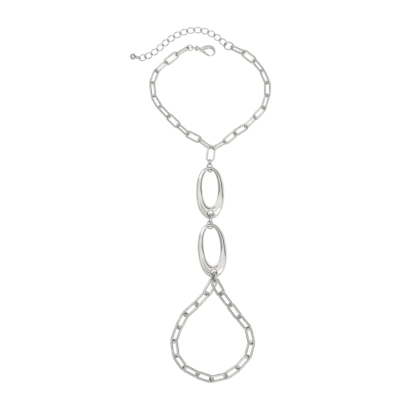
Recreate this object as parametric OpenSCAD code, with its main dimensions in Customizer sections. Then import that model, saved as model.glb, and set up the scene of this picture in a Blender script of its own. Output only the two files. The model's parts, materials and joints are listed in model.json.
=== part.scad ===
// Hand chain bracelet, laid out flat with its clasp open.
// A wrist chain of oval links, two cast ovals down the back of the hand, and a loop of larger links.
// The floor is z = 0, the fingers point along -Y, and the origin is under the middle of the whole piece.

/* [Wrist chain] */
// Outer length of a wrist chain link
wrist_link_l = 8.5; // [8.3:0.1:9]
// Outer width of a wrist chain link
wrist_link_w = 4.4; // [4.3:0.1:4.8]
// Wire of the wrist chain
wrist_wire = 0.95; // [0.85:0.05:1]

/* [Hand loop] */
// Outer length of a hand loop link
hand_link_l = 9.9; // [9.6:0.1:10.4]
// Outer width of a hand loop link
hand_link_w = 5.2; // [5:0.1:5.6]
// Wire of the hand loop
hand_wire = 1.2; // [1.1:0.05:1.25]

/* [Ovals] */
// Length of the upper oval
upper_oval_l = 26.2; // [24:0.1:29]
// Width of the upper oval
upper_oval_w = 14.2; // [13:0.1:16]
// Length of the lower oval
lower_oval_l = 27.3; // [25:0.1:30]
// Width of the lower oval
lower_oval_w = 14.6; // [13.5:0.1:16.5]
// Thickness at the crest of an oval's sides
side_t = 2.4; // [2.1:0.1:2.8]
// Thickness of an oval's top bar
bar_t = 1.6; // [1.4:0.1:1.7]
// Thickness of an oval's broad lower end
chin_t = 2; // [1.8:0.1:2.2]
// Width of each side
side_w = 3.2; // [2.8:0.1:3.6]
// Width of the top bar
bar_w = 1.85; // [1.6:0.05:1.95]
// Width of the broad lower end
chin_w = 6.1; // [5.5:0.1:6.8]
// Hole drilled in the broad lower end
hole_d = 2.3; // [2.2:0.05:2.4]
// Hole's centre above the lower edge
hole_inset = 3; // [2.9:0.05:3.2]
// Height of the ovals' undersides, carried on the rings
oval_lift = 1.2; // [1.1:0.05:1.4]

/* [Jump rings] */
// Small ring under the drop link, outer
drop_ring_d = 3.4; // [3.3:0.1:3.8]
// Its wire
drop_ring_wire = 0.55; // [0.5:0.05:0.6]
// Ring round the upper oval's bar, outer
upper_ring_d = 5; // [4.9:0.1:5.6]
// Its wire
upper_ring_wire = 0.7; // [0.6:0.05:0.8]
// Ring through the upper oval's hole, outer
middle_ring_d = 5.5; // [5.4:0.1:6]
// Its wire
middle_ring_wire = 0.7; // [0.6:0.05:0.75]
// Ring round the lower oval's bar, outer
lower_ring_d = 4.6; // [4.5:0.1:5]
// Its wire
lower_ring_wire = 0.6; // [0.5:0.05:0.65]
// Ring through the lower oval's hole, outer
hand_ring_d = 6.1; // [5.9:0.1:6.5]
// Its wire
hand_ring_wire = 0.85; // [0.75:0.05:0.9]
// The two rings before the clasp, outer
clasp_ring_d = 3.4; // [3.3:0.05:3.6]
// Their wire
clasp_ring_wire = 0.5; // [0.4:0.05:0.55]

/* [Extender] */
// Ring that the extender hangs from, outer
extender_ring_d = 5.3; // [5:0.1:6]
// Its wire
extender_ring_wire = 0.75; // [0.65:0.05:0.8]
// Outer length of an extender link
extender_link_l = 4.8; // [4.6:0.1:5.2]
// Outer width of an extender link
extender_link_w = 3.35; // [3.2:0.05:3.6]
// Wire of the extender
extender_wire = 0.55; // [0.45:0.05:0.6]
// Ring at the extender's end, outer
end_ring_d = 4.1; // [3.9:0.1:4.6]
// Its wire
end_ring_wire = 0.6; // [0.5:0.05:0.65]
// Ball at the extender's end
ball_d = 3.4; // [3:0.1:4]
// Eye soldered to the ball, outer
ball_eye_d = 2.2; // [2:0.1:2.5]
// Wire of that eye
ball_eye_wire = 0.5; // [0.4:0.05:0.5]

/* [Clasp] */
// From the middle of the clasp's eye to its nose
clasp_l = 9.5; // [9:0.1:10.5]
// Width of the clasp across the hook
clasp_w = 5.6; // [5.2:0.1:6.4]
// Thickness of the clasp
clasp_t = 2.2; // [2:0.1:2.4]
// Eye of the clasp, outer
clasp_eye_d = 2.5; // [2.4:0.1:2.8]
// Wire of that eye
clasp_eye_wire = 0.7; // [0.6:0.05:0.75]
// Pin of the lever
pin_d = 0.7; // [0.6:0.05:0.8]

/* [Fits] */
// Clearance where two links hang in each other
link_gap = 0.14; // [0.12:0.01:0.16]
// Clearance of the lever's bore round its pin
pin_gap = 0.04; // [0.03:0.01:0.06]
// Clearance between the lever and the cheeks beside it
cheek_gap = 0.06; // [0.05:0.01:0.1]

/* [Hidden] */
$fn = 48;

// Where the drop link's middle lies from the middle of the whole piece
drop_place = [5.331, 25.589];

// Headings of the links, in degrees from +X, in the order in which each chain runs away from the drop.
wrist_left_route = [144, 153, 139, 136, 133, 120, 96, 69, 42, 37, 31];
wrist_right_route = [30, 40, 32, 45, 48, 73, 90, 114, 130, 142, 156];
hand_left_route = [-120, -133, -138, -118, -109, -82, -55, -28];
hand_right_route = [-62, -53, -53, -50, -77, -105, -132, -146];
extender_route = [138, 144, 152, 165, 178, 189, 198, 207, 214, 221, 222, 215, 208];

// Roll of each link about its own length. 0 lies flat.
wrist_left_rolls = [-68, 28, -62, 30, -55, 50, -54, 52, -58, 28, -68];
wrist_right_rolls = [-66, 38, -36, 60, -42, 55, -44, 50, -58, 25, -62];
hand_left_rolls = [-32, 48, -42, 45, -48, 48, -48, 48, -44];
hand_right_rolls = [-28, 47, -42, 48, -48, 48, -48, 47, -48];

// Headings and rolls of the single rings and links
drop_link_pose = [-98, 0];
drop_ring_pose = [-97, -67];
upper_ring_pose = [-86, 55];
middle_ring_pose = [-93, 75];
lower_ring_pose = [-84, -46];
hand_ring_pose = [-91, 71];
clasp_ring_poses = [[3, 18], [-6, -84]];
extender_ring_pose = [152, 30];
end_ring_pose = [188, -35];
ball_pose = [168, 55];
upper_oval_heading = -88.8;
lower_oval_heading = -85.5;
clasp_heading = -11;

// A link's corner radius, as a share of its half width
corner_share = 0.8;
// Angle round the drop link's corners at which the two halves of the wrist chain hang
drop_spread = 56;
// Angles to the left and right of the hand ring's foot at which the hand loop's two ends hang
hand_spreads = [27, 23];
// Angle between the two ends of an extender link, which is twisted
curb_twist = 84;

function heading(h) = [cos(h), sin(h), 0];
function leftward(h) = [-sin(h), cos(h), 0];
function flat(p) = [p.x, p.y, 0];
function at(p, z) = [p.x, p.y, z];

// Two wires that hang in each other each reach past their joint by this.
function reach(wire) = (wire + link_gap) / 2;
function pitch(length, wire) = length - 2 * wire - link_gap;

// Height at which a link rolled this far just stands on the floor
function stand(width, wire, roll) = (width - wire) / 2 * abs(sin(roll)) + wire / 2;

// The joint that lies one link on, at the height z
function next_joint(p, h, length, z) =
    at(p + sqrt(length * length - (z - p.z) * (z - p.z)) * heading(h), z);

function route(start, headings, length, heights, i = 0) =
    i == len(headings) ? [start]
    : concat([start],
        route(next_joint(start, headings[i], length, heights[i]), headings, length, heights, i + 1));

// Lays a piece modelled along X, with its middle at the origin, between two joints.
module lay(p, q, roll) {
    run = q - p;
    translate((p + q) / 2)
        rotate([0, -asin(run.z / norm(run)), atan2(run.y, run.x)])
            rotate([roll, 0, 0])
                children();
}

// A closed wire link: straight sides, short straight ends and quarter-round corners
module wire_link(length, width, wire) {
    half_l = (length - wire) / 2;
    half_w = (width - wire) / 2;
    corner = half_w * corner_share;
    for (sx = [-1, 1], sy = [-1, 1])
        translate([sx * (half_l - corner), sy * (half_w - corner), 0])
            rotate([0, 0, sx > 0 ? (sy > 0 ? 0 : -90) : (sy > 0 ? 90 : 180)])
                rotate_extrude(angle = 90)
                    translate([corner, 0])
                        circle(d = wire);
    for (sy = [-1, 1])
        translate([corner - half_l, sy * half_w, 0])
            rotate([0, 90, 0])
                cylinder(d = wire, h = 2 * (half_l - corner));
    for (sx = [-1, 1])
        translate([sx * half_l, half_w - corner, 0])
            rotate([90, 0, 0])
                cylinder(d = wire, h = 2 * (half_w - corner));
}

module wire_ring(outer, wire) {
    rotate_extrude()
        translate([(outer - wire) / 2, 0])
            circle(d = wire);
}

// A solid skinned over sections of equal length, either round to its start or with two flat ends
module skin(sections, closed) {
    n = len(sections);
    m = len(sections[0]);
    spans = closed ? n : n - 1;
    sides = [for (i = [0:spans - 1], j = [0:m - 1])
        let (a = i * m + j, b = i * m + (j + 1) % m)
        let (c = (i + 1) % n * m + (j + 1) % m, d = (i + 1) % n * m + j)
        each [[a, c, b], [a, d, c]]];
    ends = closed ? [] : [[for (j = [0:m - 1]) j], [for (j = [m - 1:-1:0]) (n - 1) * m + j]];
    polyhedron(points = [for (s = sections) each s], faces = concat(sides, ends));
}

// Points on a smooth curve through the rows of a table
function between(a, b, c, d, t) =
    (2 * b + (c - a) * t + (2 * a - 5 * b + 4 * c - d) * t * t + (3 * b - a - 3 * c + d) * t * t * t) / 2;
function smooth(rows, parts) = concat(
    [for (i = [0:len(rows) - 2], k = [0:parts - 1])
        between(rows[max(i - 1, 0)], rows[i], rows[i + 1], rows[min(i + 2, len(rows) - 1)], k / parts)],
    [rows[len(rows) - 1]]);

// A bar swept along a level path. Each row holds x, y, its width and its thickness there.
module swept_bar(rows, sides) {
    last = len(rows) - 1;
    skin([for (i = [0:last])
        let (run = rows[min(i + 1, last)] - rows[max(i - 1, 0)], side = leftward(atan2(run.y, run.x)))
        [for (j = [0:sides - 1])
            [rows[i].x, rows[i].y, 0]
            + rows[i][2] / 2 * cos(360 * j / sides) * side
            + rows[i][3] / 2 * sin(360 * j / sides) * [0, 0, 1]]], false);
}

// Wrist chain: both halves hang on the upper corners of the drop link, with no ring between.
function steepest(rolls) = max([for (r = rolls) abs(r)]);
wrist_z = stand(wrist_link_w, wrist_wire, steepest(concat(wrist_left_rolls, wrist_right_rolls)));
wrist_pitch = pitch(wrist_link_l, wrist_wire);
drop_half_l = (wrist_link_l - wrist_wire) / 2;
drop_half_w = (wrist_link_w - wrist_wire) / 2;
drop_corner = drop_half_w * corner_share;
drop_mid = at(drop_place, wrist_z);

// A point on the drop link's upper corner, to the right (1) or the left (-1)
function drop_hook(side) =
    let (along = drop_half_l - drop_corner + drop_corner * cos(drop_spread))
    let (across = side * (drop_half_w - drop_corner + drop_corner * sin(drop_spread)))
    drop_mid - along * heading(drop_link_pose[0])
    + across * (cos(drop_link_pose[1]) * leftward(drop_link_pose[0]) + [0, 0, sin(drop_link_pose[1])]);

function chain_from(hook, headings, wire, length, z) =
    route(at(hook - reach(wire) * heading(headings[0]), hook.z), headings, length, [for (h = headings) z]);

wrist_left = chain_from(drop_hook(-1), wrist_left_route, wrist_wire, wrist_pitch, wrist_z);
wrist_right = chain_from(drop_hook(1), wrist_right_route, wrist_wire, wrist_pitch, wrist_z);

module wrist_link(joints, rolls, i) {
    color("silver")
        lay(joints[i], joints[i + 1], rolls[i])
            wire_link(wrist_link_l, wrist_link_w, wrist_wire);
}
module left_wrist_link(i) wrist_link(wrist_left, wrist_left_rolls, i);
module right_wrist_link(i) wrist_link(wrist_right, wrist_right_rolls, i);

module drop_link() {
    color("silver")
        lay(drop_mid, drop_mid + heading(drop_link_pose[0]), drop_link_pose[1])
            translate([-1 / 2, 0, 0])
                wire_link(wrist_link_l, wrist_link_w, wrist_wire);
}

// The drop: each ring is [outer, wire, heading, roll, height of its middle] and stands on the floor,
// or is held up by the bar inside it.
function upright(outer, wire, pose, held = 0) =
    [outer, wire, pose[0], pose[1], max(held, stand(outer, wire, pose[1]))];
function ring_radius(ring) = (ring[0] - ring[1]) / 2;

// Where a ring's wire passes the height z, on its far side (1) or its near side (-1), from its middle
function rise(ring, z) = (z - ring[4]) / sin(ring[3]);
function lean(ring, z) = rise(ring, z) * cos(ring[3]) * leftward(ring[2]);
function chord(radius, ring, z) = sqrt(pow(radius, 2) - pow(rise(ring, z), 2));
function arm(ring, z, side) = side * chord(ring_radius(ring), ring, z) * heading(ring[2]) + lean(ring, z);

// How far a bar inside a ring lies from the ring's middle when it is drawn up against the wire
function drawn(ring, z, bar) =
    chord(ring[0] / 2 - ring[1], ring, z) - link_gap - norm([bar.x, bar.y / sin(ring[3])]) / 2;

// Two rings that meet at the height z, where the upper one's wire slants
function ring_reach(ring, wire, z) =
    (reach(ring[1]) + reach(wire)) * ring_radius(ring) / chord(ring_radius(ring), ring, z);

bar = [bar_w, bar_t];
margin = [hole_inset - hole_d / 2, chin_t];
bar_z = oval_lift + bar_t / 2;
chin_z = oval_lift + chin_t / 2;

upper_ring = upright(upper_ring_d, upper_ring_wire, upper_ring_pose);
middle_ring = upright(middle_ring_d, middle_ring_wire, middle_ring_pose);
lower_ring = upright(lower_ring_d, lower_ring_wire, lower_ring_pose, bar_z);
hand_ring = upright(hand_ring_d, hand_ring_wire, hand_ring_pose);

drop_joint = drop_mid + (drop_half_l - reach(wrist_wire)) * heading(drop_link_pose[0]);
upper_joint = next_joint(drop_joint, drop_ring_pose[0], pitch(drop_ring_d, drop_ring_wire), upper_ring[4]);
upper_ring_at = flat(upper_joint)
    - reach(upper_ring_wire) * heading(upper_ring[2]) - arm(upper_ring, upper_joint.z, -1);

// An oval hangs by its bar in the ring above, and its hole holds the ring below.
function oval_under(ring_at, ring, length, h) =
    ring_at + drawn(ring, bar_z, bar) * heading(ring[2]) + lean(ring, bar_z)
    + (length - bar_w) / 2 * heading(h);
function hole_of(oval_at, length, h) = oval_at + (length / 2 - hole_inset) * heading(h);
function ring_under(hole_at, ring) =
    hole_at + ((hole_inset + hole_d / 2) / 2 + drawn(ring, chin_z, margin)) * heading(ring[2])
    - lean(ring, chin_z);

upper_oval_at = oval_under(upper_ring_at, upper_ring, upper_oval_l, upper_oval_heading);
middle_ring_at = ring_under(hole_of(upper_oval_at, upper_oval_l, upper_oval_heading), middle_ring);
lower_ring_at = middle_ring_at + arm(middle_ring, lower_ring[4], 1)
    - ring_reach(middle_ring, lower_ring_wire, lower_ring[4]) * heading(lower_ring[2])
    - arm(lower_ring, lower_ring[4], -1);
lower_oval_at = oval_under(lower_ring_at, lower_ring, lower_oval_l, lower_oval_heading);
hand_ring_at = ring_under(hole_of(lower_oval_at, lower_oval_l, lower_oval_heading), hand_ring);

module drop_ring() {
    color("silver")
        lay(drop_joint, upper_joint, drop_ring_pose[1])
            wire_ring(drop_ring_d, drop_ring_wire);
}

module standing_ring(place, ring) {
    color("silver")
        translate(at(place, ring[4]))
            rotate([ring[3], 0, ring[2]])
                wire_ring(ring[0], ring[1]);
}

module upper_ring() standing_ring(upper_ring_at, upper_ring);
module middle_ring() standing_ring(middle_ring_at, middle_ring);
module lower_ring() standing_ring(lower_ring_at, lower_ring);
module hand_ring() standing_ring(hand_ring_at, hand_ring);

// A cast oval. Each row is a point of its section, as shares of the way from the opening to the outer edge
// and of the way from the back to the crest.
side_shares = [[0.12, 0], [0, 0.16], [0, 0.45], [0.05, 0.72], [0.15, 0.93], [0.3, 1], [0.45, 0.98],
    [0.6, 0.89], [0.75, 0.73], [0.88, 0.52], [0.97, 0.32], [1, 0.16], [0.9, 0]];
chin_shares = [[0.05, 0], [0, 0.16], [0, 0.5], [0.02, 0.76], [0.06, 0.93], [0.14, 1], [0.34, 0.98],
    [0.56, 0.95], [0.7, 0.86], [0.83, 0.62], [0.94, 0.38], [1, 0.2], [0.95, 0]];
// Number of sections round an oval
oval_count = 60;
// Fullness of an oval's outline. 2 is an ellipse, and more is blunter.
fullness = 2.2;
// Power by which the two sides widen into the broad lower end
chin_power = 1.5;
// Depth of the hole's countersinks, and how much wider than the hole their mouths are for each of depth
countersink = 0.42;
countersink_flare = 4;
// How far a cutter runs past the face that it cuts
past = 1;

function mix(a, b, t) = a + (b - a) * t;
function blunt(share) = sign(share) * pow(abs(share), 2 / fullness);
function oval_station(length, width, angle) =
    let (c = blunt(cos(angle)), s = blunt(sin(angle)), chin = pow(max(c, 0), chin_power))
    let (hole_l = (length - bar_w - chin_w) / 2)
    let (outer = [length / 2 * c, width / 2 * s])
    let (inner = [bar_w + hole_l - length / 2 + hole_l * c, (width / 2 - side_w) * s])
    let (thick = mix(side_t, c > 0 ? chin_t : bar_t, c * c))
    [for (k = [0:len(side_shares) - 1])
        let (share = mix(side_shares[k], chin_shares[k], chin))
        at(mix(inner, outer, share[0]), thick * share[1])];

module drilled_hole() {
    cut = 2 * countersink;
    mouth = hole_d + countersink_flare * countersink;
    translate([0, 0, -past])
        cylinder(d = hole_d, h = chin_t + 2 * past);
    translate([0, 0, chin_t - countersink])
        cylinder(d1 = hole_d, d2 = mouth, h = cut);
    translate([0, 0, -countersink])
        cylinder(d1 = mouth, d2 = hole_d, h = cut);
}

module oval(place, h, length, width) {
    color("gainsboro")
        translate(at(place, oval_lift))
            rotate([0, 0, h])
                difference() {
                    skin([for (i = [0:oval_count - 1])
                        oval_station(length, width, 360 * i / oval_count)], true);
                    translate([length / 2 - hole_inset, 0, 0])
                        drilled_hole();
                }
}

module upper_oval() oval(upper_oval_at, upper_oval_heading, upper_oval_l, upper_oval_w);
module lower_oval() oval(lower_oval_at, lower_oval_heading, lower_oval_l, lower_oval_w);

// Hand loop: both ends hang on the hand ring, and the last two links meet at a joint
// worked out from the rest.
hand_z = stand(hand_link_w, hand_wire, steepest(concat(hand_left_rolls, hand_right_rolls)));
hand_pitch = pitch(hand_link_l, hand_wire);

function hand_hook(angle) = at(hand_ring_at, hand_ring[4])
    + ring_radius(hand_ring) * (cos(angle) * heading(hand_ring[2])
    + sin(angle) * (cos(hand_ring[3]) * leftward(hand_ring[2]) + [0, 0, sin(hand_ring[3])]));

hand_left_part =
    chain_from(hand_hook(-hand_spreads[0]), hand_left_route, hand_ring_wire, hand_pitch, hand_z);
hand_right_part =
    chain_from(hand_hook(hand_spreads[1]), hand_right_route, hand_ring_wire, hand_pitch, hand_z);
hand_last_left = hand_left_part[len(hand_left_route)];
hand_last_right = hand_right_part[len(hand_right_route)];
hand_gap = hand_last_right - hand_last_left;
hand_foot = (hand_last_left + hand_last_right) / 2
    + sqrt(pow(hand_pitch, 2) - pow(norm(hand_gap) / 2, 2)) * heading(atan2(hand_gap.y, hand_gap.x) - 90);
hand_left = concat(hand_left_part, [hand_foot]);
hand_right = concat(hand_right_part, [hand_foot]);

module hand_link(joints, rolls, i) {
    color("silver")
        lay(joints[i], joints[i + 1], rolls[i])
            wire_link(hand_link_l, hand_link_w, hand_wire);
}
module left_hand_link(i) hand_link(hand_left, hand_left_rolls, i);
module right_hand_link(i) hand_link(hand_right, hand_right_rolls, i);

// Extender: a ring at the end of the right half, a run of curb links, a ring and a ball
curb_half = [extender_link_l - extender_wire, extender_link_w - extender_wire] / 2;
function curb_lean(t) = curb_twist / 2 * cos(t);
function curb_point(t) =
    let (side = curb_half.y * sin(t))
    [curb_half.x * cos(t), side * cos(curb_lean(t)), side * sin(curb_lean(t))];
// Step in degrees in which the link's highest point is looked for
curb_step = 5;
curb_z = max([for (t = [0:curb_step:90]) curb_point(t).z]) + extender_wire / 2;

// The rings at both ends hold the run's first and last joints up, as if rolled by this angle more.
extra_roll = 4;
// Number of sections round a curb link, and of sides to its wire
curb_count = 16;
curb_sides = 6;
// Number of links at each end of the run that slope down to the floor
slope_count = 3;
extender_first_z =
    2 * stand(extender_ring_d, extender_ring_wire, extender_ring_pose[1] + extra_roll) - wrist_z;
extender_last_z = 2 * stand(end_ring_d, end_ring_wire, abs(end_ring_pose[1]) + extra_roll) - ball_d / 2;
extender_count = len(extender_route);
function slope(i, over) = pow(max(0, 1 - i / over), 2);
function extender_height(i) = curb_z + (extender_first_z - curb_z) * slope(i, slope_count)
    + (extender_last_z - curb_z) * slope(extender_count - i, slope_count);

extender_start = next_joint(wrist_right[len(wrist_right_route)], extender_ring_pose[0],
    pitch(extender_ring_d, extender_ring_wire), extender_first_z);
extender_joints = route(extender_start, extender_route, pitch(extender_link_l, extender_wire),
    [for (i = [1:extender_count]) extender_height(i)]);
ball_joint = next_joint(extender_joints[extender_count], end_ring_pose[0],
    pitch(end_ring_d, end_ring_wire), ball_d / 2);

module extender_ring() {
    color("silver")
        lay(wrist_right[len(wrist_right_route)], extender_start, extender_ring_pose[1])
            wire_ring(extender_ring_d, extender_ring_wire);
}

module curb_link() {
    skin([for (i = [0:curb_count - 1])
        let (t = 360 * i / curb_count, run = curb_point(t + 1) - curb_point(t - 1))
        let (side = cross([0, -sin(curb_lean(t)), cos(curb_lean(t))], run), up = cross(run, side))
        [for (j = [0:curb_sides - 1])
            curb_point(t) + extender_wire / 2 * (cos(360 * j / curb_sides) * side / norm(side)
            + sin(360 * j / curb_sides) * up / norm(up))]], true);
}

module extender_chain() {
    color("silver")
        for (i = [0:extender_count - 1])
            lay(extender_joints[i], extender_joints[i + 1], 0)
                curb_link();
}

module end_ring() {
    color("silver")
        lay(extender_joints[extender_count], ball_joint, end_ring_pose[1])
            wire_ring(end_ring_d, end_ring_wire);
}

// Ball with a collar and an eye, soldered into one. The collar is let into the eye's wire by its bite.
collar_d = ball_d / 2;
collar_l = 0.69;
collar_bite = 0.08;
module ball_drop() {
    eye_from_joint = (ball_eye_d - ball_eye_wire) / 2 - reach(ball_eye_wire);
    collar_start = eye_from_joint + ball_eye_d / 2 - ball_eye_wire + collar_bite;
    ball_reach = collar_start + collar_l + ball_d / 2;
    color("silver")
        translate(ball_joint)
            rotate([0, 0, ball_pose[0]]) {
                translate([eye_from_joint, 0, 0])
                    rotate([ball_pose[1], 0, 0])
                        wire_ring(ball_eye_d, ball_eye_wire);
                translate([collar_start, 0, 0])
                    rotate([0, 90, 0])
                        cylinder(d = collar_d, h = ball_reach - collar_start);
                translate([ball_reach, 0, 0])
                    sphere(d = ball_d);
            }
}

// Clasp: two small rings, then a cast hook with a sprung lever on a pin
clasp_start = wrist_left[len(wrist_left_route)];
clasp_ring_pitch = pitch(clasp_ring_d, clasp_ring_wire);
clasp_mid_z = 2 * stand(clasp_ring_d, clasp_ring_wire, 90) - clasp_t / 2;
clasp_mid = next_joint(clasp_start, clasp_ring_poses[0][0], clasp_ring_pitch, clasp_mid_z);
clasp_end = next_joint(clasp_mid, clasp_ring_poses[1][0], clasp_ring_pitch, clasp_t / 2);
clasp_eye_at = clasp_end
    + ((clasp_eye_d - clasp_eye_wire) / 2 - reach(clasp_eye_wire)) * heading(clasp_heading);

// Rows along the hook and the lever: along and across from the eye, width and thickness,
// as shares of the clasp's length, width, width and thickness.
hook_rows = [[0.1, 0.01, 0.2, 0.5], [0.2, 0.02, 0.24, 0.64], [0.295, 0.06, 0.3, 0.86],
    [0.4, 0.17, 0.34, 0.95], [0.515, 0.275, 0.33, 0.99], [0.64, 0.34, 0.31, 0.99],
    [0.77, 0.31, 0.295, 0.95], [0.875, 0.19, 0.24, 0.86], [0.942, 0.01, 0.18, 0.77],
    [0.942, -0.16, 0.15, 0.73], [0.895, -0.3, 0.143, 0.68], [0.82, -0.385, 0.134, 0.6]];
lever_rows = [[0.316, -0.134, 0.2, 0.34], [0.4, -0.223, 0.205, 0.55], [0.505, -0.32, 0.17, 0.66],
    [0.62, -0.4, 0.15, 0.66], [0.71, -0.432, 0.14, 0.64], [0.768, -0.428, 0.125, 0.58]];
tab_rows = [[0.29, -0.18, 0.1, 0.3], [0.22, -0.2, 0.09, 0.3], [0.165, -0.215, 0.1, 0.3]];
pivot_share = [0.316, -0.134];
pivot = [pivot_share.x * clasp_l, pivot_share.y * clasp_w, 0];
// Radius of the lever's knuckle and of the two cheeks beside it
knuckle_r = 0.7;
cheek_r = 0.75;
// Clearance of the pin in the cheeks, where it is riveted
rivet_gap = 0.01;
slot_t = 0.36 * clasp_t;
cheek_t = 0.25 * clasp_t;
// Points along each row of the tables, and sides of the three swept bars
row_parts = 2;
hook_sides = 12;
lever_sides = 10;
tab_sides = 8;

function clasp_rows(rows) =
    [for (r = rows) [r[0] * clasp_l, r[1] * clasp_w, r[2] * clasp_w, r[3] * clasp_t]];

module on_clasp() {
    translate(clasp_eye_at)
        rotate([0, 0, clasp_heading])
            children();
}

module disc_at_pivot(radius, from, to) {
    translate(pivot + [0, 0, from])
        cylinder(r = radius, h = to - from);
}

module clasp_body() {
    color("silver")
        on_clasp()
            difference() {
                union() {
                    wire_ring(clasp_eye_d, clasp_eye_wire);
                    swept_bar(smooth(clasp_rows(hook_rows), row_parts), hook_sides);
                    for (side = [-1, 1])
                        scale([1, 1, side])
                            disc_at_pivot(cheek_r, slot_t / 2, slot_t / 2 + cheek_t);
                }
                disc_at_pivot(knuckle_r + cheek_gap, -slot_t / 2, slot_t / 2);
                disc_at_pivot(pin_d / 2 + rivet_gap, -clasp_t, clasp_t);
            }
}

module clasp_lever() {
    tongue = slot_t / 2 - cheek_gap;
    color("gainsboro")
        on_clasp()
            difference() {
                union() {
                    disc_at_pivot(knuckle_r, -tongue, tongue);
                    swept_bar(smooth(clasp_rows(lever_rows), row_parts), lever_sides);
                    swept_bar(clasp_rows(tab_rows), tab_sides);
                }
                disc_at_pivot(cheek_r + cheek_gap, tongue, clasp_t);
                disc_at_pivot(cheek_r + cheek_gap, -clasp_t, -tongue);
                disc_at_pivot(pin_d / 2 + pin_gap, -clasp_t, clasp_t);
            }
}

module clasp_pin() {
    pin_half = slot_t / 2 + cheek_t;
    color("gainsboro")
        on_clasp()
            disc_at_pivot(pin_d / 2, -pin_half, pin_half);
}

module clasp_ring(p, q, roll) {
    color("silver")
        lay(p, q, roll)
            wire_ring(clasp_ring_d, clasp_ring_wire);
}

wrist_count = len(wrist_left_route);
hand_count = len(hand_left_route) + 1;
function numbered(name, count) = [for (i = [1:count]) str(name, i)];

for (i = [0:wrist_count - 1]) {
    left_wrist_link(i);
    right_wrist_link(i);
}
for (i = [0:hand_count - 1]) {
    left_hand_link(i);
    right_hand_link(i);
}
drop_link();
drop_ring();
upper_ring();
upper_oval();
middle_ring();
lower_ring();
lower_oval();
hand_ring();
extender_ring();
extender_chain();
end_ring();
ball_drop();
clasp_ring(clasp_start, clasp_mid, clasp_ring_poses[0][1]);  // clasp_ring_1
clasp_ring(clasp_mid, clasp_end, clasp_ring_poses[1][1]);  // clasp_ring_2
clasp_body();
clasp_lever();
clasp_pin();
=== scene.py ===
import json
from math import copysign, cos, pi, radians, sin

import bmesh
import bpy
import numpy as np
from mathutils import Matrix, Vector


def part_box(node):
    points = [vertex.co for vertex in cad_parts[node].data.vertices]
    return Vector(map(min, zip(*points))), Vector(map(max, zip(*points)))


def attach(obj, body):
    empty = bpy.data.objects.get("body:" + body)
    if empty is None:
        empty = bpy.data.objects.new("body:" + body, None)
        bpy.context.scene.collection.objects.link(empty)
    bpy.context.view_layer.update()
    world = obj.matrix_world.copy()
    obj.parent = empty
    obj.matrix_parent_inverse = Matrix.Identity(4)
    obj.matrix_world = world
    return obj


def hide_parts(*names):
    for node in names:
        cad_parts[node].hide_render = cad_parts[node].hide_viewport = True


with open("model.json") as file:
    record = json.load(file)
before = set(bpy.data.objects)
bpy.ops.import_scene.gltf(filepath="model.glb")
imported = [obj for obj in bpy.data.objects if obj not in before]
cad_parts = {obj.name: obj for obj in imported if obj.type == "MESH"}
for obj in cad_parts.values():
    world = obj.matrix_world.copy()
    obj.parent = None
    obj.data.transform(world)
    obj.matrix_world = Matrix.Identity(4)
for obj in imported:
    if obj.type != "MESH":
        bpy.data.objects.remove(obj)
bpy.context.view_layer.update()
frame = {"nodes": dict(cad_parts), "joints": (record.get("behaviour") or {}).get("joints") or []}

# The wrist chain: two runs of long links that meet on one drop link.
# Each link is softly squared wire, bent into a rounded rectangle and soldered closed on one side.
# The whole chain is plated in a bright silver tone and barrel polished.

MM = 0.001
BODY = "bracelet"
BRIGHT_SILVER = (0.725, 0.715, 0.695, 1)
SHADED_SILVER = (0.30, 0.294, 0.282, 1)
CLOUD_SCALE, LINE_SCALE, DENT_SCALE = 260, 2600, 620
CROWDING = 0.9 * MM
ROUGHNESS_SWING = 0.10
DENT_SHARE, LINE_SHARE = 0.8, 0.2
DENT_DEPTH = 0.02 * MM


class Plug:
    """A node's output. Arithmetic on plugs becomes Math nodes."""

    def __init__(self, maker, socket):
        self.maker = maker
        self.socket = socket

    def output(self, name):
        """Another output of the same node."""
        return Plug(self.maker, self.socket.node.outputs[name])

    def maths(self, operation, first, second):
        return self.maker.add("ShaderNodeMath", {"operation": operation}, {0: first, 1: second})

    def __add__(self, other):
        return self.maths("ADD", self, other)

    def __sub__(self, other):
        return self.maths("SUBTRACT", self, other)

    def __rsub__(self, other):
        return self.maths("SUBTRACT", other, self)

    def __mul__(self, other):
        return self.maths("MULTIPLY", self, other)

    def __truediv__(self, other):
        return self.maths("DIVIDE", self, other)

    def __rtruediv__(self, other):
        return self.maths("DIVIDE", other, self)

    __radd__ = __add__
    __rmul__ = __mul__


class Maker:
    """Adds nodes to one tree: a node's type, its settings, then its sockets' values or links."""

    def __init__(self, tree):
        self.tree = tree

    def add(self, kind, settings=None, inputs=None, output=0):
        node = self.tree.nodes.new(kind)
        for key, value in (settings or {}).items():
            if key == "stops":
                ramp = node.color_ramp
                while len(ramp.elements) < len(value):
                    ramp.elements.new(0.5)
                for element, (position, colour) in zip(ramp.elements, value):
                    element.position = position
                    element.color = colour
            else:
                setattr(node, key, value)
        for key, value in (inputs or {}).items():
            if isinstance(value, Plug):
                self.tree.links.new(value.socket, node.inputs[key])
            else:
                node.inputs[key].default_value = value
        return Plug(self, node.outputs[output]) if len(node.outputs) else None


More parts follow.
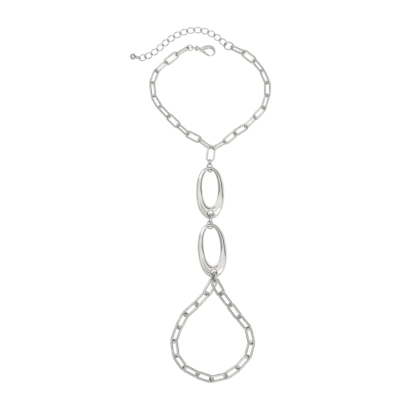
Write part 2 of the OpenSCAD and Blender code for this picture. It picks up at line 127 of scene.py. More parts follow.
def polished_silver(name, bright, shade_and_cloud_tone, roughness, streaks=(1, 1, 1)):
    """Plated metal: cloudy tone, fine polishing lines, and painted shade where pieces crowd
    together.
    """
    material = bpy.data.materials.new(name)
    material.use_nodes = True
    material.node_tree.nodes.clear()
    make = Maker(material.node_tree)
    place = make.add("ShaderNodeTexCoord", output="Object")
    clouds = make.add("ShaderNodeTexNoise", {},
                      {"Vector": place, "Scale": CLOUD_SCALE, "Detail": 3, "Roughness": 0.6})
    along = make.add("ShaderNodeMapping", {"vector_type": "POINT"},
                     {"Vector": place, "Scale": streaks})
    lines = make.add("ShaderNodeTexNoise", {},
                     {"Vector": along, "Scale": LINE_SCALE, "Detail": 4, "Roughness": 0.65})
    dents = make.add("ShaderNodeTexNoise", {},
                     {"Vector": place, "Scale": DENT_SCALE, "Detail": 2, "Roughness": 0.45})
    # Painted shade: ambient occlusion darkens the colour towards the shade tone in creases, holes
    # and where links and rings meet.
    crowd = make.add("ShaderNodeAmbientOcclusion", {"samples": 8}, {"Distance": CROWDING}, "AO")
    painted_shade_mask = make.add("ShaderNodeMapRange", {"interpolation_type": "SMOOTHSTEP"},
                     {"Value": crowd, "From Min": 0.15, "From Max": 0.8,
                      "To Min": 0.0, "To Max": 1.0})
    tone = make.add("ShaderNodeMapRange", {},
                    {"Value": clouds, "From Min": 0.3, "From Max": 0.7,
                     "To Min": 0.72, "To Max": 1.0})
    # The colour moves towards the shade tone both with the random cloudy tone and with the painted
    # shade.
    colour = make.add("ShaderNodeMix", {"data_type": "RGBA"},
                      {0: painted_shade_mask * tone, 6: shade_and_cloud_tone, 7: bright}, 2)
    rough = roughness + (clouds - 0.5) * ROUGHNESS_SWING + (lines - 0.5) * ROUGHNESS_SWING
    height = dents * DENT_SHARE + lines * LINE_SHARE
    normal = make.add("ShaderNodeBump", {},
                      {"Strength": 0.16, "Distance": DENT_DEPTH, "Height": height})
    shader = make.add("ShaderNodeBsdfPrincipled", {},
                      {"Base Color": colour, "Metallic": 1.0, "Roughness": rough,
                       "Normal": normal})
    make.add("ShaderNodeOutputMaterial", {}, {"Surface": shader})
    return material


def lie_of(mesh, chosen=None):
    """Middle and turn of a wire shape, by its surface: X along it and Z square to its plane."""
    mesh.calc_loop_triangles()
    points = np.empty(len(mesh.vertices) * 3)
    mesh.vertices.foreach_get("co", points)
    faces = np.empty(len(mesh.loop_triangles) * 3, dtype=int)
    mesh.loop_triangles.foreach_get("vertices", faces)
    corners = points.reshape(-1, 3)[faces.reshape(-1, 3)]
    if chosen is not None:
        corners = corners[chosen]
    across = np.cross(corners[:, 1] - corners[:, 0], corners[:, 2] - corners[:, 0])
    area = np.linalg.norm(across, axis=1) / 2
    middle = (area[:, None] * corners.mean(axis=1)).sum(axis=0) / area.sum()
    arms = corners - middle
    total = arms.sum(axis=1)
    spread = (np.einsum("t,tia,tib->ab", area, arms, arms)
              + np.einsum("t,ta,tb->ab", area, total, total))
    axes = np.linalg.eigh(spread)[1][:, ::-1]
    axes[:, 2] = np.cross(axes[:, 0], axes[:, 1])
    return Vector(middle), Matrix(axes.tolist()).to_euler()


def seed_points(name, lies):
    """A mesh of bare points, one for each link, with its turn kept beside it."""
    mesh = bpy.data.meshes.new(name)
    mesh.from_pydata([middle for middle, turn in lies], [], [])
    turns = mesh.attributes.new("turn", "FLOAT_VECTOR", "POINT")
    for row, (middle, turn) in zip(turns.data, lies):
        row.vector = turn
    return mesh


def grown(name, mesh, tree, values, material):
    """Runs a Geometry Nodes tree on a mesh with the sizes given, and keeps a plain mesh."""
    piece = bpy.data.objects.new(name, mesh)
    bpy.context.scene.collection.objects.link(piece)
    modifier = piece.modifiers.new("Build", "NODES")
    modifier.node_group = tree
    wanted = dict(values, Metal=material)
    for item in tree.interface.items_tree:
        if item.in_out == "INPUT" and item.name in wanted:
            modifier[item.identifier] = wanted[item.name]
    bpy.context.view_layer.update()
    evaluated = piece.evaluated_get(bpy.context.evaluated_depsgraph_get())
    made = bpy.data.meshes.new_from_object(evaluated)
    piece.modifiers.remove(modifier)
    piece.data = made
    made.name = name
    return piece


def new_tree(name, sizes):
    """An empty tree with a geometry input and output, the named sizes, and the metal."""
    tree = bpy.data.node_groups.new(name, "GeometryNodeTree")
    sockets = tree.interface
    sockets.new_socket("Geometry", in_out="OUTPUT", socket_type="NodeSocketGeometry")
    sockets.new_socket("Geometry", in_out="INPUT", socket_type="NodeSocketGeometry")
    for size in sizes:
        kind = "NodeSocketInt" if size.startswith("Number") else "NodeSocketFloat"
        sockets.new_socket(size, in_out="INPUT", socket_type=kind)
    sockets.new_socket("Metal", in_out="INPUT", socket_type="NodeSocketMaterial")
    make = Maker(tree)
    group = make.add("NodeGroupInput").socket.node
    given = {socket.name: Plug(make, socket) for socket in group.outputs if socket.name}
    return tree, make, given


def placed_and_plated(make, given, link):
    """Sets a copy of the link on every point, turned as the point says, and ends the tree."""
    turn = make.add("GeometryNodeInputNamedAttribute", {"data_type": "FLOAT_VECTOR"},
                    {"Name": "turn"})
    copies = make.add("GeometryNodeInstanceOnPoints", {},
                      {"Points": given["Geometry"], "Instance": link, "Rotation": turn})
    solid = make.add("GeometryNodeRealizeInstances", {}, {"Geometry": copies})
    smooth = make.add("GeometryNodeSetShadeSmooth", {}, {"Geometry": solid})
    plated = make.add("GeometryNodeSetMaterial", {},
                      {"Geometry": smooth, "Material": given["Metal"]})
    make.add("NodeGroupOutput", {}, {0: plated})


SECTION_SHARE, ROUNDING_SHARE = 0.985, 0.37
BEND_STEPS = 9


def wire_link_tree():
    """A rounded rectangle of softly squared wire on every point."""
    tree, make, given = new_tree(
        "Long links", ["Link Length", "Link Width", "Wire", "Corner", "Number of Sides"])
    outline = make.add("GeometryNodeCurvePrimitiveQuadrilateral", {"mode": "RECTANGLE"},
                       {"Width": given["Link Length"] - given["Wire"],
                        "Height": given["Link Width"] - given["Wire"]})
    bent = make.add("GeometryNodeFilletCurve", {"mode": "POLY"},
                    {"Curve": outline, "Count": BEND_STEPS, "Radius": given["Corner"],
                     "Limit Radius": True})
    drawn_square = make.add("GeometryNodeCurvePrimitiveQuadrilateral", {"mode": "RECTANGLE"},
                            {"Width": given["Wire"] * SECTION_SHARE,
                             "Height": given["Wire"] * SECTION_SHARE})
    section = make.add("GeometryNodeFilletCurve", {"mode": "POLY"},
                       {"Curve": drawn_square, "Count": given["Number of Sides"],
                        "Radius": given["Wire"] * ROUNDING_SHARE, "Limit Radius": True})
    link = make.add("GeometryNodeCurveToMesh", {}, {"Curve": bent, "Profile Curve": section})
    placed_and_plated(make, given, link)
    return tree


CORNER_SHARE = 0.8


def wire_chain(name, tree, nodes, length, width, wire, sides, material):
    """One mesh for a run of long links, each lying as its node does."""
    lies = [lie_of(frame["nodes"][node].data) for node in nodes]
    sizes = {"Link Length": length, "Link Width": width, "Wire": wire,
             "Corner": (width - wire) / 2 * CORNER_SHARE, "Number of Sides": sides}
    chain = grown(name, seed_points(name + "_points", lies), tree, sizes, material)
    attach(chain, BODY)
    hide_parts(*nodes)


WRIST_LINKS = 11
WRIST_LINK = dict(length=8.5 * MM, width=4.4 * MM, wire=0.95 * MM, sides=5)
wrist_silver = polished_silver("Wrist chain silver", BRIGHT_SILVER, SHADED_SILVER, 0.12)
long_links = wire_link_tree()
wrist_nodes = ["%s_wrist_link_%d" % (side, i)
               for side in ("left", "right") for i in range(1, WRIST_LINKS + 1)]
wire_chain("wrist_chain", long_links, wrist_nodes + ["drop_link"], material=wrist_silver,
           **WRIST_LINK)

# The hand loop: eighteen larger links of the same kind in heavier wire.
# The loop closes on the hand ring, and is plated and polished with the rest of the piece.

HAND_LINKS = 9
HAND_LINK = dict(length=9.9 * MM, width=5.2 * MM, wire=1.2 * MM, sides=5)
hand_silver = polished_silver("Hand loop silver", BRIGHT_SILVER, (0.29, 0.284, 0.272, 1), 0.12)
hand_nodes = ["%s_hand_link_%d" % (side, i)
              for side in ("left", "right") for i in range(1, HAND_LINKS + 1)]
wire_chain("hand_loop", long_links, hand_nodes, material=hand_silver, **HAND_LINK)

# The jump rings: round wire wound on a mandrel, sawn, and closed with pliers round its neighbours.
# Each shows one fine cut. They join the drop link, ovals, hand loop, clasp and extender.

# Outer width and wire in mm, then the angle of the cut in degrees.
RINGS = {
    "drop_ring": (3.4, 0.55, 40), "upper_ring": (5.0, 0.7, 205), "middle_ring": (5.5, 0.7, 120),
    "lower_ring": (4.6, 0.6, 300), "hand_ring": (6.1, 0.85, 150),
    "extender_ring": (5.3, 0.75, 60), "end_ring": (4.1, 0.6, 250),
    "clasp_ring_1": (3.4, 0.5, 100), "clasp_ring_2": (3.4, 0.5, 190),
}
CUT_WIDTH = 0.05 * MM
RING_STEPS, RING_SIDES = 64, 18


def cut_ring_tree():
    """A ring of round wire on every point, with a narrow gap where its two ends meet."""
    tree, make, given = new_tree(
        "Cut ring", ["Outer Width", "Wire", "Cut Width", "Cut Angle", "Number of Sides"])
    radius = (given["Outer Width"] - given["Wire"]) * 0.5
    swept = 2 * pi - given["Cut Width"] / radius
    arc = make.add("GeometryNodeCurveArc", {"mode": "RADIUS"},
                   {"Resolution": RING_STEPS, "Radius": radius,
                    "Start Angle": given["Cut Angle"], "Sweep Angle": swept})
    round_wire = make.add("GeometryNodeCurvePrimitiveCircle", {"mode": "RADIUS"},
                          {"Resolution": given["Number of Sides"], "Radius": given["Wire"] * 0.5})
    ring = make.add("GeometryNodeCurveToMesh", {},
                    {"Curve": arc, "Profile Curve": round_wire, "Fill Caps": True})
    placed_and_plated(make, given, ring)
    return tree


ring_silver = polished_silver("Jump ring silver", (0.70, 0.69, 0.672, 1), (0.24, 0.235, 0.23, 1),
                              0.15)
cut_rings = cut_ring_tree()
for node, (outer, wire, cut) in RINGS.items():
    sizes = {"Outer Width": outer * MM, "Wire": wire * MM, "Cut Width": CUT_WIDTH,
             "Cut Angle": radians(cut), "Number of Sides": RING_SIDES}
    points = seed_points(node + "_point", [lie_of(frame["nodes"][node].data)])
    ring = grown("jump_" + node, points, cut_rings, sizes, ring_silver)
    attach(ring, BODY)
    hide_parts(node)

# The extender: a run of small links in thin wire, each twisted so that it lies flat by the next.
# Twisted by machine, soldered, and plated with the rest.

EXTENDER = {"Link Length": 4.8 * MM, "Link Width": 3.35 * MM, "Wire": 0.55 * MM,
            "Twist": radians(84), "Number of Sides": 14}
TWIST_STEPS = 40
SAME_CORNER = 1e-7


def twisted_link_tree():
    """An oval link whose two ends are turned against each other, on every point."""
    tree, make, given = new_tree(
        "Twisted links", ["Link Length", "Link Width", "Wire", "Twist", "Number of Sides"])
    circle = make.add("GeometryNodeCurvePrimitiveCircle", {"mode": "RADIUS"},
                      {"Resolution": TWIST_STEPS, "Radius": 1.0})
    along = make.add("ShaderNodeSeparateXYZ", {}, {0: make.add("GeometryNodeInputPosition")})
    aside = along.output("Y")
    lean = along * given["Twist"] * 0.5
    half_length = (given["Link Length"] - given["Wire"]) * 0.5
    across = (given["Link Width"] - given["Wire"]) * 0.5 * aside
    level = make.add("ShaderNodeMath", {"operation": "COSINE"}, {0: lean})
    upright = make.add("ShaderNodeMath", {"operation": "SINE"}, {0: lean})
    point = make.add("ShaderNodeCombineXYZ", {},
                     {0: along * half_length, 1: across * level, 2: across * upright})
    twisted = make.add("GeometryNodeSetPosition", {}, {"Geometry": circle, "Position": point})
    round_wire = make.add("GeometryNodeCurvePrimitiveCircle", {"mode": "RADIUS"},
                          {"Resolution": given["Number of Sides"], "Radius": given["Wire"] * 0.5})
    link = make.add("GeometryNodeCurveToMesh", {},
                    {"Curve": twisted, "Profile Curve": round_wire})
    placed_and_plated(make, given, link)
    return tree


def loose_parts(mesh):
    """A merged copy of a mesh, and the triangles of each separate solid in it, by number."""
    copy = bmesh.new()
    copy.from_mesh(mesh)
    bmesh.ops.triangulate(copy, faces=copy.faces)
    bmesh.ops.remove_doubles(copy, verts=copy.verts, dist=SAME_CORNER)
    merged = bpy.data.meshes.new("merged")
    copy.to_mesh(merged)
    copy.verts.ensure_lookup_table()
    copy.faces.ensure_lookup_table()
    seen, parts = set(), []
    for first in copy.faces:
        if first.index in seen:
            continue
        part, edge = [], [first]
        seen.add(first.index)
        while edge:
            face = edge.pop()
            part.append(face.index)
            for vertex in face.verts:
                for other in vertex.link_faces:
                    if other.index not in seen:
                        seen.add(other.index)
                        edge.append(other)
        parts.append(sorted(part))
    copy.free()
    return merged, parts


extender_silver = polished_silver("Extender silver", (0.71, 0.70, 0.682, 1),
                                  (0.28, 0.275, 0.265, 1), 0.17)
extender_solid, extender_parts = loose_parts(frame["nodes"]["extender_chain"].data)
extender_lies = [lie_of(extender_solid, part) for part in extender_parts]
extender = grown("extender_links", seed_points("extender_points", extender_lies),
                 twisted_link_tree(), EXTENDER, extender_silver)
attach(extender, BODY)
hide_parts("extender_chain")

# The two ovals: zinc-alloy castings with a slim top bar, unequal sides and a broad dished chin.
# Each has a drilled and countersunk hole for the next ring, and hangs by its bar in the ring above.

SIDE_T, BAR_T, CHIN_T = 2.4 * MM, 1.6 * MM, 2.0 * MM
SIDE_W, BAR_W, CHIN_W = 3.2 * MM, 1.85 * MM, 6.1 * MM
HOLE_D, HOLE_INSET, COUNTERSINK = 2.3 * MM, 3.0 * MM, 0.42 * MM
# Section shapes: share of the way from the opening to the outer edge, share of the thickness.
LEFT_SIDE = [(0.10, 0), (0, 0.14), (0, 0.34), (0, 0.56), (0.04, 0.68), (0.13, 0.81),
             (0.22, 0.92), (0.30, 0.985), (0.38, 1), (0.50, 0.985), (0.64, 0.935),
             (0.78, 0.85), (0.90, 0.68), (0.97, 0.40), (1, 0.15), (0.94, 0)]
RIGHT_SIDE = [(0.12, 0), (0, 0.14), (0, 0.30), (0, 0.44), (0.04, 0.56), (0.11, 0.68),
              (0.20, 0.80), (0.30, 0.91), (0.42, 0.99), (0.52, 0.99), (0.62, 0.93),
              (0.75, 0.79), (0.87, 0.58), (0.96, 0.35), (1, 0.15), (0.90, 0)]
LEFT_CHIN = [(0.05, 0), (0, 0.15), (0, 0.40), (0.005, 0.66), (0.04, 0.93), (0.085, 1),
             (0.13, 0.96), (0.20, 0.76), (0.32, 0.65), (0.47, 0.64), (0.54, 0.82),
             (0.64, 0.78), (0.71, 0.94), (0.87, 0.86), (1, 0.28), (0.95, 0)]
RIGHT_CHIN = [(0.05, 0), (0, 0.15), (0, 0.40), (0.005, 0.66), (0.04, 0.93), (0.085, 1),
              (0.13, 0.96), (0.20, 0.80), (0.30, 0.69), (0.42, 0.67), (0.52, 0.67),
              (0.62, 0.71), (0.80, 0.94), (0.89, 0.88), (1, 0.24), (0.95, 0)]
FULLNESS = 2.2
CHIN_RISE = 1.1
FACE_AT_HOLE = 0.69
STATIONS, SECTION_STEPS = 168, 4
BIT_SIDES = 64
OVAL_EDGE, CASTING_EDGE = 32, 38


def spline(rows, steps):
    """Points on a smooth curve through the rows of a table."""
    rows = np.array(rows, dtype=float)
    last = len(rows) - 1
    points = []
    for i in range(last):
        a, b, c, d = (rows[k] for k in (max(i - 1, 0), i, i + 1, min(i + 2, last)))
        for step in range(steps):
            t = step / steps
            points.append((2 * b + (c - a) * t + (2 * a - 5 * b + 4 * c - d) * t * t
                           + (3 * b - a - 3 * c + d) * t ** 3) / 2)
    points.append(rows[-1])
    return np.array(points)


def drawn(name, work):
    """Makes a piece of what has been drawn in a bmesh."""
    mesh = bpy.data.meshes.new(name)
    work.to_mesh(mesh)
    work.free()
    piece = bpy.data.objects.new(name, mesh)
    bpy.context.scene.collection.objects.link(piece)
    return piece


def skinned(name, rings, closed):
    """A skin over rings of points, joined round to the first ring or capped at both ends."""
    work = bmesh.new()
    rows = [[work.verts.new(point) for point in ring] for ring in rings]
    count = len(rows[0])
    for i in range(len(rows) if closed else len(rows) - 1):
        here, ahead = rows[i], rows[(i + 1) % len(rows)]
        for j in range(count):
            beside = (j + 1) % count
            work.faces.new((here[j], here[beside], ahead[beside], ahead[j]))
    if not closed:
        work.faces.new(rows[0][::-1])
        work.faces.new(rows[-1])
    bmesh.ops.recalc_face_normals(work, faces=work.faces)
    return drawn(name, work)


def lathed(name, profile, sides):
    """A solid turned about Z from (radius, height) rows whose first and last lie on the axis."""
    work = bmesh.new()
    around = [(cos(2 * pi * k / sides), sin(2 * pi * k / sides)) for k in range(sides)]
    rows = [[work.verts.new((radius * x, radius * y, height))
             for x, y in (around if radius > 0 else around[:1])] for radius, height in profile]
    for low, high in zip(rows, rows[1:]):
        for k in range(sides):
            corners = [low[k % len(low)], low[(k + 1) % len(low)],
                       high[(k + 1) % len(high)], high[k % len(high)]]
            corners = [v for i, v in enumerate(corners) if v not in corners[:i]]
            if len(corners) > 2:
                work.faces.new(corners)
    bmesh.ops.recalc_face_normals(work, faces=work.faces)
    return drawn(name, work)


def settle(piece):
    """Keeps what a piece's modifiers make of it as its plain mesh."""
    bpy.context.view_layer.update()
    evaluated = piece.evaluated_get(bpy.context.evaluated_depsgraph_get())
    made = bpy.data.meshes.new_from_object(evaluated)
    piece.modifiers.clear()
    piece.data = made
    return piece


def cut_away(piece, *cutters):
    """Takes each cutter's shape out of the piece."""
    for cutter in cutters:
        modifier = piece.modifiers.new("Cut", "BOOLEAN")
        modifier.operation = "DIFFERENCE"
        modifier.solver = "EXACT"
        modifier.object = cutter
        settle(piece)
        bpy.data.objects.remove(cutter)


def turned(heading, place):
    """A turn about Z in degrees, then a move."""
    return Matrix.Translation(place) @ Matrix.Rotation(radians(heading), 4, "Z")


def finish_casting(piece, name, material, node, body=BODY, edge=CASTING_EDGE):
    """Names and plates a piece, keeps edges past an angle crisp, hangs it on its body and hides its
    node's part.
    """
    piece.name = name
    piece.data.name = name
    piece.data.materials.clear()
    piece.data.materials.append(material)
    piece.data.shade_smooth()
    piece.data.set_sharp_from_angle(angle=radians(edge))
    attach(piece, body)
    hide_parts(node)


def oval_casting(name, node, heading, length, width, material):
    """One oval: a section that changes from bar to sides to chin, drilled, and laid on its node."""
    left, right, left_chin, right_chin = (
        spline(rows, SECTION_STEPS) for rows in (LEFT_SIDE, RIGHT_SIDE, LEFT_CHIN, RIGHT_CHIN))
    opening = (length - BAR_W - CHIN_W) / 2
    rings = []
    for i in range(STATIONS):
        angle = 2 * pi * i / STATIONS
        c, s = (copysign(abs(share) ** (2 / FULLNESS), share) for share in (cos(angle), sin(angle)))
        outer = np.array([length / 2 * c, width / 2 * s])
        inner = np.array([BAR_W + opening - length / 2 + opening * c, (width / 2 - SIDE_W) * s])
        low = max(c, 0) ** CHIN_RISE
        turn = (1 + s) / 2
        side = left * (1 - turn) + right * turn
        chin = left_chin * (1 - turn) + right_chin * turn
        section = side * (1 - low) + chin * low
        end_t = CHIN_T if c > 0 else BAR_T
        thick = SIDE_T + (end_t - SIDE_T) * c * c
        rings.append([(*(inner + (outer - inner) * u), thick * v) for u, v in section])
    piece = skinned(name, rings, True)
    drill, top = HOLE_D / 2, CHIN_T * FACE_AT_HOLE
    mouth = drill + MM + COUNTERSINK
    bit = lathed("bit", [(0, -MM), (mouth, -MM), (drill, COUNTERSINK), (drill, top - COUNTERSINK),
                         (mouth, top + MM), (0, top + MM)], BIT_SIDES)
    bit.data.transform(Matrix.Translation((length / 2 - HOLE_INSET, 0, 0)))
    cut_away(piece, bit)
    low_corner, high_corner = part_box(node)
    middle = (Vector(low_corner) + Vector(high_corner)) / 2
    piece.data.transform(turned(heading, (middle.x, middle.y, low_corner[2])))
    finish_casting(piece, name, material, node, edge=OVAL_EDGE)


oval_silver = polished_silver("Oval casting silver", (0.75, 0.74, 0.72, 1),
                              (0.34, 0.335, 0.325, 1), 0.09, (1, 0.25, 1))
oval_casting("upper_oval_casting", "upper_oval", -88.8, 26.2 * MM, 14.2 * MM, oval_silver)
oval_casting("lower_oval_casting", "lower_oval", -85.5, 27.3 * MM, 14.6 * MM, oval_silver)

# The ball at the extender's end: a turned ball with a short collar and neck.
# A small wire eye is soldered to the neck, and hangs in the end ring.

BALL_D = 3.4 * MM
BALL_STEPS, BALL_SIDES, COLLAR_STEP = 28, 56, 24
# The collar and neck: radius and height in mm.
COLLAR = [(0.92, 1.52), (0.80, 1.62), (0.74, 1.80), (0.80, 1.98), (0.82, 2.15), (0.72, 2.36),
          (0.45, 2.45), (0, 2.47)]
BALL_HEADING = 168
BALL_REACH = 3.6 * MM
EYE_D, EYE_WIRE, EYE_ROLL = 2.2 * MM, 0.5 * MM, 55
EYE_FROM_JOINT = 0.53 * MM


def torus(name, outer, wire, steps=72, sides=24):
    """A closed ring of round wire about Z."""
    middle = (outer - wire) / 2
    section = [(middle + wire / 2 * cos(2 * pi * j / sides), wire / 2 * sin(2 * pi * j / sides))
               for j in range(sides)]
    rings = []
    for i in range(steps):
        around = 2 * pi * i / steps
        rings.append([(radius * cos(around), radius * sin(around), height)
                      for radius, height in section])
    return skinned(name, rings, True)


def fused(name, pieces, grain, eased):
    """Joins closed pieces into one fine-grained skin with eased seams, as solder does."""
    joined = bmesh.new()
    for piece in pieces:
        joined.from_mesh(piece.data)
        bpy.data.objects.remove(piece)
    whole = drawn(name, joined)
    remesh = whole.modifiers.new("Fuse", "REMESH")
    remesh.mode = "VOXEL"
    remesh.voxel_size = grain
    ease = whole.modifiers.new("Ease", "SMOOTH")
    ease.factor = 0.5
    ease.iterations = eased
    return settle(whole)


ball_radius = BALL_D / 2
ball_profile = [(ball_radius * sin(pi * k / BALL_STEPS), -ball_radius * cos(pi * k / BALL_STEPS))
                for k in range(COLLAR_STEP)]
ball_profile += [(radius * MM, height * MM) for radius, height in COLLAR]
ball = lathed("ball", ball_profile, BALL_SIDES)
ball.data.transform(Matrix.Translation((BALL_REACH, 0, 0))
                    @ Matrix.Rotation(radians(-90), 4, "Y"))
eye = torus("eye", EYE_D, EYE_WIRE)
eye.data.transform(Matrix.Translation((EYE_FROM_JOINT, 0, 0))
                   @ Matrix.Rotation(radians(EYE_ROLL), 4, "X"))
ball_piece = fused("extender_ball", [ball, eye], grain=0.05 * MM, eased=3)
low_corner, high_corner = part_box("ball_drop")
ball_middle = Vector((low_corner[0] + ball_radius, high_corner[1] - ball_radius,
                      high_corner[2] - ball_radius))
ball_way = Vector((cos(radians(BALL_HEADING)), sin(radians(BALL_HEADING)), 0))
ball_piece.data.transform(turned(BALL_HEADING, ball_middle - ball_way * BALL_REACH))
ball_silver = polished_silver("Ball silver", BRIGHT_SILVER, SHADED_SILVER, 0.12)
finish_casting(ball_piece, "extender_ball", ball_silver, "ball_drop")

# The clasp: a small cast hook with an eye behind it, and a sprung lever that closes its mouth.
# The lever turns on a pin that is riveted over in the two cheeks, and has a thumb tab by the eye.

CLASP_L, CLASP_W, CLASP_T = 9.5 * MM, 5.6 * MM, 2.2 * MM
CLASP_HEADING = -11
# Rows along each bar: its place along and across the clasp, its width and its thickness, as
# shares of the clasp's length, width, width and thickness.
HOOK = [(0.10, 0.01, 0.20, 0.50), (0.20, 0.02, 0.24, 0.64), (0.295, 0.06, 0.30, 0.86),
        (0.40, 0.17, 0.34, 0.95), (0.515, 0.275, 0.33, 0.99), (0.64, 0.34, 0.31, 0.99),
        (0.77, 0.31, 0.295, 0.95), (0.875, 0.19, 0.24, 0.86), (0.942, 0.01, 0.18, 0.77),
        (0.942, -0.16, 0.15, 0.73), (0.895, -0.30, 0.143, 0.68), (0.82, -0.385, 0.134, 0.6)]
LEVER = [(0.316, -0.134, 0.20, 0.34), (0.40, -0.223, 0.205, 0.55), (0.505, -0.32, 0.17, 0.66),
         (0.62, -0.40, 0.15, 0.66), (0.71, -0.432, 0.14, 0.64), (0.768, -0.428, 0.125, 0.58)]
TAB = [(0.29, -0.18, 0.10, 0.30), (0.22, -0.20, 0.09, 0.30), (0.165, -0.215, 0.10, 0.30)]
PIVOT = Vector((0.316 * CLASP_L, -0.134 * CLASP_W, 0))
CLASP_EYE_D, CLASP_EYE_WIRE = 2.5 * MM, 0.7 * MM
KNUCKLE_R, CHEEK_R = 0.70 * MM, 0.75 * MM
SLOT_T, CHEEK_T, CHEEK_GAP = 0.36 * CLASP_T, 0.25 * CLASP_T, 0.06 * MM
TONGUE = SLOT_T / 2 - CHEEK_GAP
PIN_D, PIN_GAP, PRESS_GAP = 0.7 * MM, 0.04 * MM, 0.01 * MM
BAR_SOFTNESS = 0.86
DISC_SIDES, PIN_SIDES = 64, 40
CLASP_SHADE = (0.09, 0.088, 0.085, 1)


def swept_bar(name, table, steps, sides):
    """A bar with a softly squared section, swept along a level path."""
    rows = spline([(x * CLASP_L, y * CLASP_W, w * CLASP_W, t * CLASP_T) for x, y, w, t in table],
                  steps)
    rings = []
    for i, (x, y, wide, tall) in enumerate(rows):
        run = rows[min(i + 1, len(rows) - 1)][:2] - rows[max(i - 1, 0)][:2]
        run = run / np.linalg.norm(run)
        ring = []
        for j in range(sides):
            c, s = cos(2 * pi * j / sides), sin(2 * pi * j / sides)
            out = copysign(wide / 2 * abs(c) ** BAR_SOFTNESS, c)
            up = copysign(tall / 2 * abs(s) ** BAR_SOFTNESS, s)
            ring.append((x - run[1] * out, y + run[0] * out, up))
        rings.append(ring)
    return skinned(name, rings, False)


def disc(name, radius, low, high):
    """A plain round plate about the lever's pivot."""
    piece = lathed(name, [(0, low), (radius, low), (radius, high), (0, high)], DISC_SIDES)
    piece.data.transform(Matrix.Translation(PIVOT))
    return piece


clasp_hinge = Vector(frame["joints"][0]["pos_m"])
clasp_turn = Matrix.Rotation(radians(CLASP_HEADING), 3, "Z")
on_clasp = turned(CLASP_HEADING, clasp_hinge - clasp_turn @ PIVOT)
clasp_silver = polished_silver("Clasp silver", (0.66, 0.65, 0.632, 1), CLASP_SHADE, 0.17)
lever_silver = polished_silver("Clasp lever silver", (0.67, 0.66, 0.642, 1), CLASP_SHADE, 0.18)
pin_steel = polished_silver("Clasp pin steel", (0.68, 0.68, 0.68, 1), (0.2, 0.2, 0.2, 1), 0.24)

hook_parts = [torus("eye", CLASP_EYE_D, CLASP_EYE_WIRE), swept_bar("hook", HOOK, 8, 32)]
for side in (-1, 1):
    low, high = sorted((side * SLOT_T / 2, side * (SLOT_T / 2 + CHEEK_T)))
    hook_parts.append(disc("cheek", CHEEK_R, low, high))
hook = fused("clasp_hook", hook_parts, grain=0.045 * MM, eased=4)
cut_away(hook, disc("slot", KNUCKLE_R + CHEEK_GAP, -SLOT_T / 2, SLOT_T / 2),
         disc("pin_hole", PIN_D / 2 + PRESS_GAP, -CLASP_T, CLASP_T))
hook.data.transform(on_clasp)
finish_casting(hook, "clasp_hook", clasp_silver, "clasp_body")

lever_parts = [disc("knuckle", KNUCKLE_R, -TONGUE, TONGUE), swept_bar("lever", LEVER, 8, 28),
               swept_bar("tab", TAB, 6, 24)]
lever = fused("clasp_lever_arm", lever_parts, grain=0.04 * MM, eased=3)
cut_away(lever, disc("above", CHEEK_R + CHEEK_GAP, TONGUE, CLASP_T),
         disc("below", CHEEK_R + CHEEK_GAP, -CLASP_T, -TONGUE),
         disc("bore", PIN_D / 2 + PIN_GAP, -CLASP_T, CLASP_T))
lever.data.transform(on_clasp)
finish_casting(lever, "clasp_lever_arm", lever_silver, "clasp_lever", body="lever")

# The pin's riveted end: radius, and depth below the cheek's face.
RIVET = [(0, 0), (0.24 * MM, 0.015 * MM), (0.33 * MM, 0.07 * MM), (PIN_D / 2, 0.13 * MM)]
pin_half = SLOT_T / 2 + CHEEK_T
pin_profile = [(radius, depth - pin_half) for radius, depth in RIVET]
pin_profile += [(radius, -height) for radius, height in pin_profile[::-1]]
pin = lathed("clasp_rivet", pin_profile, PIN_SIDES)
pin.data.transform(on_clasp @ Matrix.Translation(PIVOT))
finish_casting(pin, "clasp_rivet", pin_steel, "clasp_pin")

# The table, the light and the camera: the piece lies on plain pale paper under soft square lamps.
# It is seen from straight above through a long lens, with the strongest lamp at the upper left.

PAPER_SIZE, PAPER_DROP = 2.4, 0.00005
PAPER_GRAIN = 900
PAPER_TONES = ((0.20, 0.20, 0.20, 1), (0.23, 0.23, 0.23, 1))
PAPER_GLOW = 0.845
paper = bpy.data.materials.new("Pale paper")
paper.use_nodes = True
paper.node_tree.nodes.clear()
make = Maker(paper.node_tree)
grain = make.add("ShaderNodeTexNoise", {},
                 {"Vector": make.add("ShaderNodeTexCoord", output="Object"),
                  "Scale": PAPER_GRAIN, "Detail": 3})
sheet_colour = make.add("ShaderNodeMix", {"data_type": "RGBA"},
                        {0: grain, 6: PAPER_TONES[0], 7: PAPER_TONES[1]}, 2)
paper_shader = make.add("ShaderNodeBsdfPrincipled", {},
                        {"Base Color": sheet_colour, "Roughness": 0.9,
                         "Emission Color": (1, 1, 1, 1), "Emission Strength": PAPER_GLOW})
make.add("ShaderNodeOutputMaterial", {}, {"Surface": paper_shader})
half = PAPER_SIZE / 2
floor_mesh = bpy.data.meshes.new("paper")
floor_mesh.from_pydata([(x * half, y * half, -PAPER_DROP)
                        for x, y in ((-1, -1), (1, -1), (1, 1), (-1, 1))], [], [(0, 1, 2, 3)])
floor_mesh.materials.append(paper)
floor = bpy.data.objects.new("paper", floor_mesh)
bpy.context.scene.collection.objects.link(floor)


def soft_lamp(name, place, size, power):
    """A square soft lamp that faces the middle of the piece."""
    data = bpy.data.lights.new(name, "AREA")
    data.shape = "SQUARE"
    data.size = size
    data.energy = power
    lamp = bpy.data.objects.new(name, data)
    lamp.location = place
    lamp.rotation_euler = (-Vector(place)).to_track_quat("-Z", "Y").to_euler()
    bpy.context.scene.collection.objects.link(lamp)


soft_lamp("Upper left lamp", (-0.75, 0.65, 0.95), size=0.50, power=0.95)
soft_lamp("Right lamp", (0.85, -0.70, 0.50), size=0.34, power=0.38)
soft_lamp("Near lamp", (0.1, -1.0, 0.8), size=0.34, power=0.5)

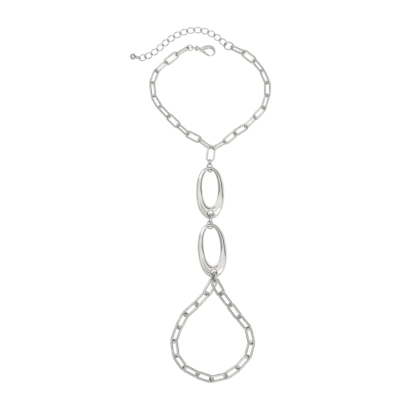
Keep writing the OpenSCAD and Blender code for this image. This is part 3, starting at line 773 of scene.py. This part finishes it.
# A white tent, and grey cards at its upper right and lower left, each by height above the table.
TENT = [(0.0, (0.26, 0.257, 0.25, 1)), (0.34, (0.34, 0.337, 0.328, 1)),
        (0.60, (0.70, 0.694, 0.68, 1)), (0.86, (0.98, 0.975, 0.96, 1)),
        (1.0, (0.98, 0.975, 0.96, 1))]
CARDS = [(0.0, (0.14, 0.139, 0.135, 1)), (0.34, (0.125, 0.124, 0.12, 1)),
         (0.58, (0.39, 0.387, 0.378, 1)), (0.80, (0.78, 0.775, 0.76, 1)),
         (1.0, (0.98, 0.975, 0.96, 1))]
CARD_LEAN_X, CARD_LEAN_Y = 0.25, 0.16
CARD_EDGE = (-0.15, 0.5)
TENT_STRENGTH = 1.12
world = bpy.data.worlds.new("Studio")
world.use_nodes = True
world.node_tree.nodes.clear()
bpy.context.scene.world = world
make = Maker(world.node_tree)
toward_x = make.add("ShaderNodeSeparateXYZ", {},
                    {0: make.add("ShaderNodeTexCoord", output="Generated")})
toward_y, height = toward_x.output("Y"), toward_x.output("Z")
tent = make.add("ShaderNodeValToRGB", {"stops": TENT}, {"Fac": height})
cards = make.add("ShaderNodeValToRGB", {"stops": CARDS}, {"Fac": height})
corner = toward_x * toward_y * 2 + toward_x * CARD_LEAN_X - toward_y * CARD_LEAN_Y
carded = make.add("ShaderNodeMapRange", {"interpolation_type": "SMOOTHSTEP"},
                  {"Value": corner, "From Min": CARD_EDGE[0], "From Max": CARD_EDGE[1],
                   "To Min": 0.0, "To Max": 1.0})
sky = make.add("ShaderNodeMix", {"data_type": "RGBA"}, {0: carded, 6: tent, 7: cards}, 2)
background = make.add("ShaderNodeBackground", {}, {"Color": sky, "Strength": TENT_STRENGTH})
make.add("ShaderNodeOutputWorld", {}, {"Surface": background})

VIEW_MIDDLE = (0.0039, -0.0016)
VIEW_WIDTH = 0.208
CAMERA_HEIGHT = 2.0
SENSOR_WIDTH = 36
lens = bpy.data.cameras.new("Camera")
lens.sensor_width = SENSOR_WIDTH
lens.lens = SENSOR_WIDTH * CAMERA_HEIGHT / VIEW_WIDTH
camera = bpy.data.objects.new("Camera", lens)
camera.location = (*VIEW_MIDDLE, CAMERA_HEIGHT)
bpy.context.scene.collection.objects.link(camera)
bpy.context.scene.camera = camera
bpy.context.scene.view_settings.view_transform = "Standard"

bpy.context.view_layer.update()
